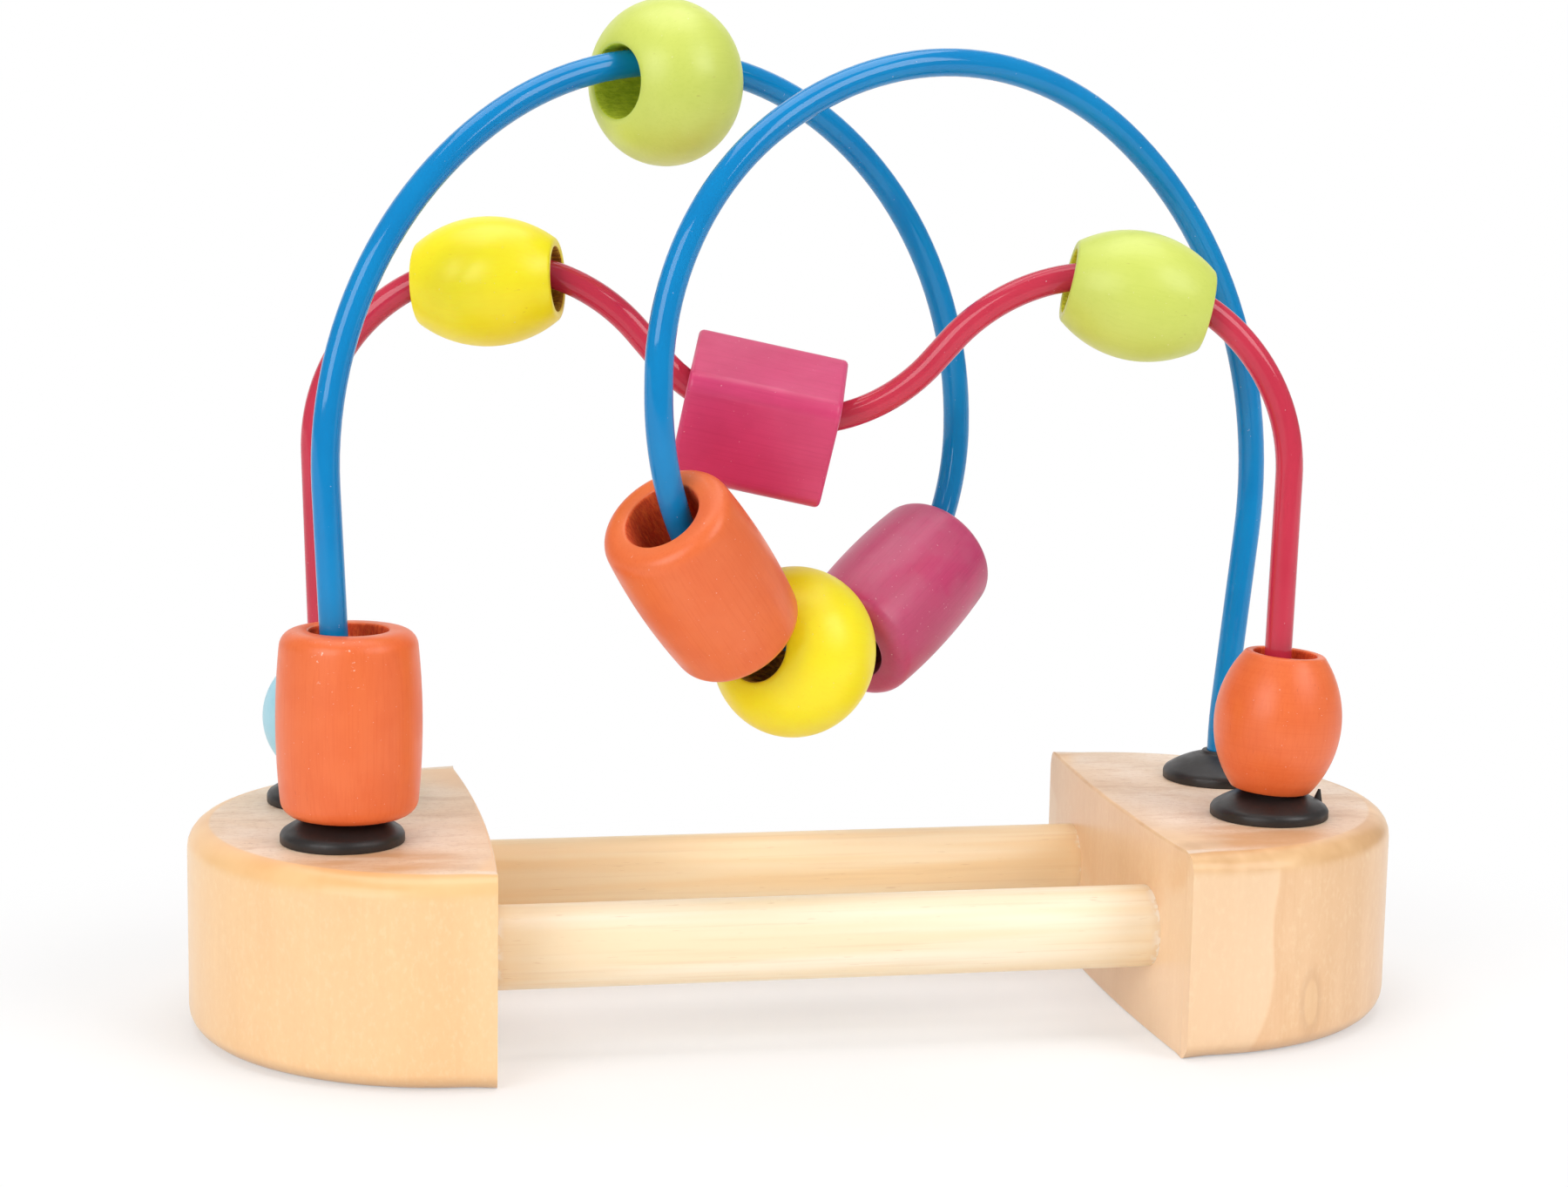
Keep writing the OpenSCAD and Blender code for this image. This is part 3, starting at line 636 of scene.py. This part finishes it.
def make_dowel(name, side, node, finish):
    bm = bmesh.new()
    along = turned(90, "Y")
    place = Matrix.Translation((0, side * DOWEL_SPREAD / 2, DOWEL_Z)) @ along
    bmesh.ops.create_cone(bm, cap_ends=True, segments=64, radius1=DOWEL_D / 2, radius2=DOWEL_D / 2,
                          depth=DOWEL_LENGTH)
    ends = [edge for edge in bm.edges if edge.verts[0].co.z == edge.verts[1].co.z]
    bmesh.ops.bevel(bm, geom=ends, offset=DOWEL_EASE, offset_type="OFFSET", affect="EDGES", segments=2,
                    profile=0.5, material=-1)
    finish_piece(bm, name, "base", node, [finish], place)


def make_wire(name, runs, node, finish):
    """A round section that is carried along the straight and bent pieces of a wire."""
    bm = bmesh.new()
    start = Matrix.Translation(runs[0].point(0, WIRE_END_Z))
    bmesh.ops.create_circle(bm, cap_ends=True, radius=WIRE_R, segments=WIRE_SIDES, matrix=start)
    ring = bm.edges[:]
    for run in runs:
        for state, after, piece in zip(run.states, run.states[1:], run.pieces):
            if len(piece) == 1:
                made = bmesh.ops.extrude_edge_only(bm, edges=ring)["geom"]
                way = run.point(*after[:2]) - run.point(*state[:2])
                bmesh.ops.translate(bm, vec=way, verts=verts_in(made))
            else:
                corners = list({vert for edge in ring for vert in edge.verts})
                centre = run.point(*run.arc_centre(state, piece))
                steps = math.ceil(abs(piece[1]) / BEND_STEP)
                made = bmesh.ops.spin(bm, geom=corners + ring, cent=centre, axis=run.bend_axis(),
                                      angle=math.radians(piece[1]), steps=steps)["geom_last"]
            new = set(verts_in(made))
            ring = [item for item in made if isinstance(item, bmesh.types.BMEdge) and set(item.verts) <= new]
    bmesh.ops.contextual_create(bm, geom=ring)
    finish_piece(bm, name, "base", node, [finish])


def make_cover(name, place, node, finish, fin=False):
    """A domed cover with a rim and a collar round the wire, and on one a fin left from its moulding."""
    bm = bmesh.new()
    first = bm.verts.new((COVER_BORE_R, 0, 0))
    end = draw_line(bm, first, (COVER_R - COVER_SOFT / 2, 0, 0))
    end = draw_arc(bm, end, (COVER_R - COVER_SOFT / 2, 0, COVER_SOFT / 2), 90, 3)
    end = draw_line(bm, end, (COVER_R, 0, COVER_RIM - COVER_SOFT))
    dome_z = COVER_DOME - DOME_R
    edge_x = COVER_R - COVER_SOFT
    edge_angle = math.degrees(math.acos(edge_x / DOME_R))
    end = draw_line(bm, end, (COVER_R - 0.3 * COVER_SOFT, 0, COVER_RIM - 0.3 * COVER_SOFT))
    end = draw_line(bm, end, (edge_x, 0, dome_z + DOME_R * sin(edge_angle)))
    foot_x = COLLAR_R + 0.5
    foot_angle = math.degrees(math.acos(foot_x / DOME_R))
    end = draw_arc(bm, end, (0, 0, dome_z), foot_angle - edge_angle, 14)
    end = draw_line(bm, end, (COLLAR_R + 0.12, 0, dome_z + DOME_R * sin(foot_angle) + 0.12))
    end = draw_line(bm, end, (COLLAR_R, 0, COLLAR_H - COLLAR_SOFT))
    end = draw_arc(bm, end, (COLLAR_R - COLLAR_SOFT, 0, COLLAR_H - COLLAR_SOFT), 90, 3)
    end = draw_line(bm, end, (COVER_BORE_R, 0, COLLAR_H))
    draw_line(bm, end, (COVER_BORE_R, 0, 0))
    bmesh.ops.remove_doubles(bm, verts=bm.verts, dist=WELD)
    turn_on_lathe(bm, 72)
    if fin:
        thin = Matrix.Diagonal((1, FIN_THIN, 1, 1))
        leaning = Matrix.Translation((FIN_OUT, 0, FIN_Z)) @ turned(FIN_TILT, "Y") @ thin
        bmesh.ops.create_cone(bm, cap_ends=True, segments=8, radius1=FIN_R, radius2=FIN_TIP_R, depth=FIN_H,
                              matrix=turned(FIN_TILT, "Z") @ leaning)
    finish_piece(bm, name, "base", node, [finish],
                 Matrix.Translation((place[0], place[1], BLOCK_H)), 50)


def draw_mouth(bm, end, bore_r, half):
    """Draws the rounded upper mouth of a bore, the bore itself and its rounded lower mouth."""
    end = draw_line(bm, end, (bore_r + MOUTH, 0, half))
    end = draw_arc(bm, end, (bore_r + MOUTH, 0, half - MOUTH), 90, 4)
    for share in (0.7, 0.3, -0.3, -0.7):
        end = draw_line(bm, end, (bore_r, 0, share * half))
    end = draw_line(bm, end, (bore_r, 0, MOUTH - half))
    draw_arc(bm, end, (bore_r + MOUTH, 0, MOUTH - half), 90, 4)


def stave(wide, narrow, length, end_round):
    """Side radius of a bulged bead, and how far out the rounding of its ends is centred."""
    side_r = (length ** 2 + (wide - narrow) ** 2) / (4 * (wide - narrow))
    inside = math.sqrt((side_r - end_round) ** 2 - (length / 2 - end_round) ** 2)
    return side_r, wide / 2 - side_r + inside


def bulged_section(bm, wide, narrow, length, end_round, bore_r):
    half = length / 2
    side_r, round_x = stave(wide, narrow, length, end_round)
    side_x = wide / 2 - side_r
    round_z = half - end_round
    reach = math.degrees(math.asin(round_z / (side_r - end_round)))
    first = bm.verts.new((bore_r + MOUTH, 0, -half))
    end = draw_line(bm, first, (round_x, 0, -half))
    end = draw_arc(bm, end, (round_x, 0, -round_z), 90 - reach, 8)
    end = draw_arc(bm, end, (side_x, 0, 0), 2 * reach, 24)
    end = draw_arc(bm, end, (round_x, 0, round_z), 90 - reach, 8)
    draw_mouth(bm, end, bore_r, half)
    return bore_r


def cylinder_section(bm):
    return bulged_section(bm, CYLINDER_D, CYLINDER_END_D, CYLINDER_LEN, CYLINDER_ROUND, CYLINDER_BORE_R)


def barrel_section(bm):
    return bulged_section(bm, BARREL_D, BARREL_END_D, BARREL_LEN, BARREL_ROUND, BARREL_BORE_R)


def ball_half(diameter):
    out = diameter / 2 - BALL_LEN / 2
    return math.sqrt((BALL_LEN / 2) ** 2 - (BALL_BORE_R + MOUTH - out) ** 2)


def ball_section(bm, diameter):
    half = ball_half(diameter)
    out = diameter / 2 - BALL_LEN / 2
    reach = math.degrees(math.atan2(half, BALL_BORE_R + MOUTH - out))
    first = bm.verts.new((BALL_BORE_R + MOUTH, 0, -half))
    end = draw_arc(bm, first, (out, 0, 0), 2 * reach, 40)
    draw_mouth(bm, end, BALL_BORE_R, half)
    return BALL_BORE_R


def square_body(bm):
    """A square rod with rounded edges, and a bore let into its two ends."""
    half = SQUARE_LEN / 2
    bmesh.ops.create_cube(bm, size=1)
    bmesh.ops.scale(bm, vec=(SQUARE_W, SQUARE_W, SQUARE_LEN), verts=bm.verts)
    long = [edge for edge in bm.edges if edge.verts[0].co.z * edge.verts[1].co.z < 0]
    bmesh.ops.bevel(bm, geom=long, offset=SQUARE_ROUND, offset_type="OFFSET", affect="EDGES", segments=8,
                    profile=0.5, material=-1)
    level = [edge for edge in bm.edges if edge.verts[0].co.z * edge.verts[1].co.z > 0]
    bmesh.ops.bevel(bm, geom=level, offset=SQUARE_END_ROUND, offset_type="OFFSET", affect="EDGES", segments=4,
                    profile=0.5, material=-1)
    ends = [face for face in bm.faces if abs(abs(face.calc_center_median().z) - half) < WELD]
    rims = [edge for face in ends for edge in face.edges]
    bmesh.ops.delete(bm, geom=ends, context="FACES_ONLY")
    mouths = []
    for radius, height in ((SQUARE_BORE_R + MOUTH, half),
                           (SQUARE_BORE_R + MOUTH_MID_OUT, half - MOUTH_MID_IN),
                           (SQUARE_BORE_R, half - MOUTH), (SQUARE_BORE_R, MOUTH - half),
                           (SQUARE_BORE_R + MOUTH_MID_OUT, MOUTH_MID_IN - half),
                           (SQUARE_BORE_R + MOUTH, -half)):
        lifted = Matrix.Translation((0, 0, height))
        made = bmesh.ops.create_circle(bm, radius=radius, segments=48, matrix=lifted)
        mouths.append(list({edge for vert in made["verts"] for edge in vert.link_edges}))
    for upper, lower in zip(mouths, mouths[1:]):
        bmesh.ops.bridge_loops(bm, edges=upper + lower)
    for rim, mouth in ((1, mouths[0]), (-1, mouths[-1])):
        near = [edge for edge in rims if edge.verts[0].co.z * rim > 0]
        bmesh.ops.triangle_fill(bm, use_beauty=True, edges=near + mouth, normal=(0, 0, rim))
    return SQUARE_BORE_R


def make_bead(name, shape, place, slot, node, finishes, **sizes):
    """Shapes a bead round its bore, marks the bore's faces and puts the bead on its wire."""
    bm = bmesh.new()
    bore_r = shape(bm, **sizes)
    if not bm.faces:
        bmesh.ops.remove_doubles(bm, verts=bm.verts, dist=WELD)
        turn_on_lathe(bm)
    mark = bm.verts.layers.float_vector.new("bead_place")
    for vert in bm.verts:
        vert[mark] = vert.co
    for face in bm.faces:
        middle = face.calc_center_median()
        if math.hypot(middle.x, middle.y) < bore_r + 0.1:
            face.material_index = 1
    finish_piece(bm, name, node + "_body", node, finishes, place)


def make_base():
    """The blocks, dowels, wires and covers, none of which moves."""
    blue = blue_routes()
    red = red_route()
    left_wood = block_beech("left_beech", (0, 0, 0),
                            side_tones=(tone(250, 209, 157), tone(246, 201, 147)),
                            end_tones=(tone(251, 228, 204), tone(245, 216, 186)),
                            round_tones=(tone(248, 201, 143), tone(242, 189, 128)),
                            streaks=0.05, stain_x=-64.0)
    right_wood = block_beech("right_beech", (37, 12, 5),
                             side_tones=(tone(246, 206, 163), tone(236, 192, 145)),
                             end_tones=(tone(246, 224, 202), tone(238, 210, 182)),
                             round_tones=(tone(242, 200, 150), tone(216, 168, 116)),
                             streaks=0.12, stain_x=61.7, knotty=True)
    make_block("left_block_wood", 180, "left_block", left_wood)
    make_block("right_block_wood", 0, "right_block", right_wood)
    make_dowel("front_dowel_wood", -1, "front_dowel",
               dowel_beech("front_dowel_beech", tone(255, 242, 216), tone(252, 231, 194)))
    # Painted shade: the back dowel gets darker, more orange tones than the front one.
    make_dowel("back_dowel_wood", 1, "back_dowel",
               dowel_beech("back_dowel_shaded_beech", tone(254, 232, 194), tone(250, 218, 170)))
    make_wire("blue_wire_coated", blue, "blue_wire",
              wire_coat("blue_coat", tone(0, 136, 200), tone(0, 121, 187)))
    make_wire("red_wire_coated", [red], "red_wire",
              wire_coat("red_coat", tone(206, 56, 79), tone(189, 39, 64)))
    plastic = black_plastic("black_plastic")
    make_cover("front_left_cap", LEFT_FRONT, "front_left_cover", plastic)
    make_cover("back_left_cap", LEFT_BACK, "back_left_cover", plastic)
    make_cover("front_right_cap", RIGHT_FRONT, "front_right_cover", plastic, True)
    make_cover("back_right_cap", RIGHT_BACK, "back_right_cover", plastic)
    return blue, red


def over_hump(radius, bore_r):
    return radius + WIRE_R - bore_r + PLAY


def in_dip(radius, bore_r, length):
    flat = math.sqrt(radius ** 2 - length ** 2 / 4)
    return flat - WIRE_R * radius / flat + bore_r - PLAY


def rest_z(mouth_r):
    return BLOCK_H + COVER_DOME - DOME_R + math.sqrt(DOME_R ** 2 - mouth_r ** 2) + PLAY


def lean_angle(side_r, bottom_r, reach, drop, side):
    """Angle on a loop's side at which a cylinder's rounded rim meets the ball."""
    ball_near = in_dip(loop_bottom_r(), BALL_BORE_R, 2 * ball_half(BALL_D)) - BALL_D / 2 + BALL_LEN / 2
    across = side_r - reach + side * ball_near * sin(LOOP_BALL_AT)
    down = drop - bottom_r + ball_near * cos(LOOP_BALL_AT)
    away = math.hypot(across, down)
    rim = CYLINDER_LEN / 2 - CYLINDER_ROUND
    inside = in_dip(side_r, CYLINDER_BORE_R, CYLINDER_LEN)
    inside -= stave(CYLINDER_D, CYLINDER_END_D, CYLINDER_LEN, CYLINDER_ROUND)[1]
    touch = BALL_LEN / 2 + CYLINDER_ROUND + PLAY
    share = (away ** 2 + rim ** 2 + inside ** 2 - touch ** 2) / (2 * away * math.hypot(rim, inside))
    return math.degrees(math.atan2(across, down) + math.atan2(rim, inside) + math.acos(share))


def loop_bottom_r():
    half = plan_length(LOOP_BACK, LOOP_FRONT) / 2
    return loop_radii(half + LOOP_SHIFT, LEFT_DROP)[1]


def make_beads(blue, red):
    left_arch, loop, _ = blue
    orange_tones = (tone(239, 116, 60), tone(226, 92, 36))
    orange = [bead_paint("orange_paint", *orange_tones),
              bore_wood("orange_bore", tone(255, 110, 46), tone(226, 72, 26))]
    dented = [bead_paint("dented_orange_paint", *orange_tones, dents=(-5.2, -8.65, 10.4)), orange[1]]
    lined = [bead_paint("lined_orange_paint", *orange_tones, rings=0.18), orange[1]]
    pale_blue = [bead_paint("pale_blue_paint", tone(168, 218, 232), tone(140, 200, 220)),
                 bore_wood("pale_blue_bore", tone(120, 170, 185), tone(70, 110, 125))]
    green = [bead_paint("green_paint", tone(212, 223, 104), tone(198, 212, 84)),
             bore_wood("green_bore", tone(244, 252, 70), tone(204, 218, 30))]
    yellow = [bead_paint("yellow_paint", tone(255, 240, 26), tone(254, 226, 6)),
              bore_wood("yellow_bore", tone(226, 184, 40), tone(150, 100, 20))]
    magenta = [bead_paint("magenta_paint", tone(220, 66, 117), tone(196, 43, 94)),
               bore_wood("magenta_bore", tone(170, 48, 84), tone(104, 26, 50))]
    # The loop's magenta cylinder has the prism's paint in darker tones, which are painted shade, with more dust
    # specks and pale clouds of dust and painted sheen.
    shaded_dusty_sheen = [bead_paint("shaded_dusty_sheen_magenta_paint", tone(200, 64, 112), tone(172, 42, 90), dust_and_sheen=0.5), magenta[1]]

    mouth_r = CYLINDER_BORE_R + MOUTH
    place = left_arch.on_foot(CYLINDER_SLIDE, rest_z(mouth_r - CYLINDER_SLIDE), 0, CYLINDER_LEN / 2)
    make_bead("orange_cylinder_bead", cylinder_section, place, "orange_paint", "orange_cylinder", dented)

    height = rest_z(BALL_BORE_R + MOUTH - SMALL_BALL_SLIDE)
    place = red.on_foot(SMALL_BALL_SLIDE, height, 0, ball_half(SMALL_BALL_D))
    make_bead("pale_blue_ball_bead", ball_section, place, "pale_blue_paint", "pale_blue_ball", pale_blue,
              diameter=SMALL_BALL_D)

    place = left_arch.on_arc(4, GREEN_BALL_AT, over_hump(left_arch.pieces[4][0], BALL_BORE_R))
    make_bead("green_ball_bead", ball_section, place @ turned(-GREEN_BALL_TURN, "X"), "green_paint",
              "green_ball", green, diameter=GREEN_BALL_D)

    place = red.on_arc(3, YELLOW_BARREL_AT, over_hump(LEFT_HUMP_R, BARREL_BORE_R))
    make_bead("yellow_barrel_bead", barrel_section, place @ turned(YELLOW_BARREL_TURN, "X"), "yellow_paint",
              "yellow_barrel", yellow)

    place = red.on_arc(5, SQUARE_AT, in_dip(red.pieces[5][0], SQUARE_BORE_R, SQUARE_LEN))
    make_bead("magenta_prism_bead", square_body, place @ turned(SQUARE_TURN, "Z"), "magenta_paint",
              "magenta_prism", magenta)

    half = plan_length(LOOP_BACK, LOOP_FRONT) / 2
    bottom_r = loop_bottom_r()
    left_side = loop.pieces[3][0]
    right_side = loop.pieces[0][0]
    at = lean_angle(left_side, bottom_r, half + LOOP_SHIFT, LEFT_DROP, 1)
    place = loop.on_arc(3, at, in_dip(left_side, CYLINDER_BORE_R, CYLINDER_LEN))
    make_bead("loop_orange_cylinder_bead", cylinder_section, place, "orange_paint", "loop_orange_cylinder",
              orange)

    place = loop.on_arc(2, LOOP_BALL_AT, in_dip(bottom_r, BALL_BORE_R, 2 * ball_half(BALL_D)))
    make_bead("yellow_ball_bead", ball_section, place, "yellow_paint", "yellow_ball", yellow, diameter=BALL_D)

    at = lean_angle(right_side, bottom_r, half - LOOP_SHIFT, RIGHT_DROP, -1)
    place = loop.on_arc(0, -at, in_dip(right_side, CYLINDER_BORE_R, CYLINDER_LEN))
    make_bead("loop_magenta_cylinder_bead", cylinder_section, place, "magenta_paint", "loop_magenta_cylinder",
              shaded_dusty_sheen)

    place = red.on_arc(7, GREEN_BARREL_AT, over_hump(RIGHT_HUMP_R, BARREL_BORE_R))
    make_bead("green_barrel_bead", barrel_section, place, "green_paint", "green_barrel", green)

    mouth_r = BARREL_BORE_R + MOUTH
    span = plan_length(LEFT_BACK, RIGHT_FRONT)
    height = rest_z(mouth_r) + mouth_r * sin(BARREL_TILT)
    place = red.on_foot(span, height, BARREL_TILT, BARREL_LEN / 2)
    make_bead("orange_barrel_bead", barrel_section, place, "orange_paint", "orange_barrel", lined)


# Table, light and camera


def white_sheet(name, corners, share, ground, seen_tone):
    """A plain white sheet of the studio, which the camera and the gloss see as white."""
    bm = bmesh.new()
    bmesh.ops.create_grid(bm, x_segments=1, y_segments=1, size=STUDIO / 2)
    bmesh.ops.transform(bm, matrix=corners, verts=bm.verts)
    mesh = bpy.data.meshes.new(name)
    bm.to_mesh(mesh)
    bm.free()
    sheet = bpy.data.objects.new(name, mesh)
    bpy.context.scene.collection.objects.link(sheet)
    material, tree, shader = new_finish(name + "_white")
    feed(tree, shader, {"Base Color": ground(tree), "Roughness": 0.8, "Specular IOR Level": 0.1})
    rays = put(tree, "ShaderNodeLightPath").outputs
    seen = maths(tree, "MAXIMUM", rays["Is Camera Ray"], rays["Is Glossy Ray"])
    seen = maths(tree, "MAXIMUM", seen, rays["Is Transmission Ray"])
    glow = put(tree, "ShaderNodeEmission", {"Color": seen_tone(tree), "Strength": 1.0}).outputs[0]
    white = maths(tree, "MULTIPLY", seen, share(tree))
    mix = put(tree, "ShaderNodeMixShader", {0: white, 1: shader.outputs[0], 2: glow})
    tree.links.new(mix.outputs[0], tree.nodes["Material Output"].inputs["Surface"])
    mesh.materials.append(material)


def away_from_toy(tree):
    """Share of white on the table, which keeps the shadows near the toy."""
    coords = put(tree, "ShaderNodeTexCoord").outputs["Object"]
    around = stretched(tree, coords, (1.0, 1.5, 1.0))
    away = length(tree, around)
    return remap(tree, away, 0.09, 0.18, 0.45, 1.0)


def paper(tree):
    """Share of the white paper, which fades out in front of the toy into the grey of the studio."""
    depth = part_of(tree, put(tree, "ShaderNodeTexCoord").outputs["Object"], 1)
    return remap(tree, depth, -0.5, -0.26)


def paper_on_grey(tree):
    return blend(tree, paper(tree), STUDIO_GREY, PAPER_WHITE)


def white_on_grey(tree):
    return blend(tree, paper(tree), STUDIO_GREY, PURE_WHITE)


def make_studio():
    white_sheet("table", Matrix.Identity(4), away_from_toy, paper_on_grey, white_on_grey)
    upright = Matrix.Translation((0, STUDIO / 2 - 0.01, 0)) @ turned(90, "X")
    white_sheet("backdrop", upright, lambda tree: 1.0, lambda tree: PAPER_WHITE, lambda tree: PURE_WHITE)


def make_lamp(name, at, width, height, power):
    light = bpy.data.lights.new(name, "AREA")
    light.shape = "RECTANGLE"
    light.size = width
    light.size_y = height
    light.energy = power
    lamp = bpy.data.objects.new(name, light)
    bpy.context.scene.collection.objects.link(lamp)
    lamp.location = at
    lamp.rotation_euler = (LAMP_AIM - Vector(at)).to_track_quat("-Z", "Y").to_euler()


def make_light():
    world = bpy.data.worlds.new("studio")
    bpy.context.scene.world = world
    world.use_nodes = True
    background = world.node_tree.nodes["Background"].inputs
    background["Color"].default_value = STUDIO_GREY
    background["Strength"].default_value = 1.0
    make_lamp("left_softbox", (-0.64, -0.64, 0.45), 0.6, 0.58, 4.1)
    make_lamp("right_softbox", (0.57, -0.59, 0.62), 0.5, 0.55, 3.5)
    make_lamp("top_softbox", (0.0, 0.12, 0.95), 0.9, 0.75, 4.8)


def make_camera():
    level = math.cos(CAMERA_PITCH)
    forward = Vector((math.sin(CAMERA_YAW) * level, math.cos(CAMERA_YAW) * level, -math.sin(CAMERA_PITCH)))
    right = Vector((math.cos(CAMERA_YAW), -math.sin(CAMERA_YAW), 0))
    down = forward.cross(right)
    across = math.cos(CAMERA_ROLL) * right + math.sin(CAMERA_ROLL) * down
    below = math.cos(CAMERA_ROLL) * down - math.sin(CAMERA_ROLL) * right
    turn = Matrix((across, -below, -forward)).transposed().to_4x4()
    data = bpy.data.cameras.new("photo_camera")
    data.sensor_fit = "HORIZONTAL"
    data.sensor_width = SENSOR_WIDTH
    data.lens = CAMERA_LENS
    data.clip_start = 0.01
    camera = bpy.data.objects.new("photo_camera", data)
    bpy.context.scene.collection.objects.link(camera)
    camera.matrix_world = Matrix.Translation(CAMERA_AT * MM) @ turn
    bpy.context.scene.camera = camera


blue_runs, red_run = make_base()
make_beads(blue_runs, red_run)
make_studio()
make_light()
make_camera()
bpy.context.scene.view_settings.view_transform = "Standard"
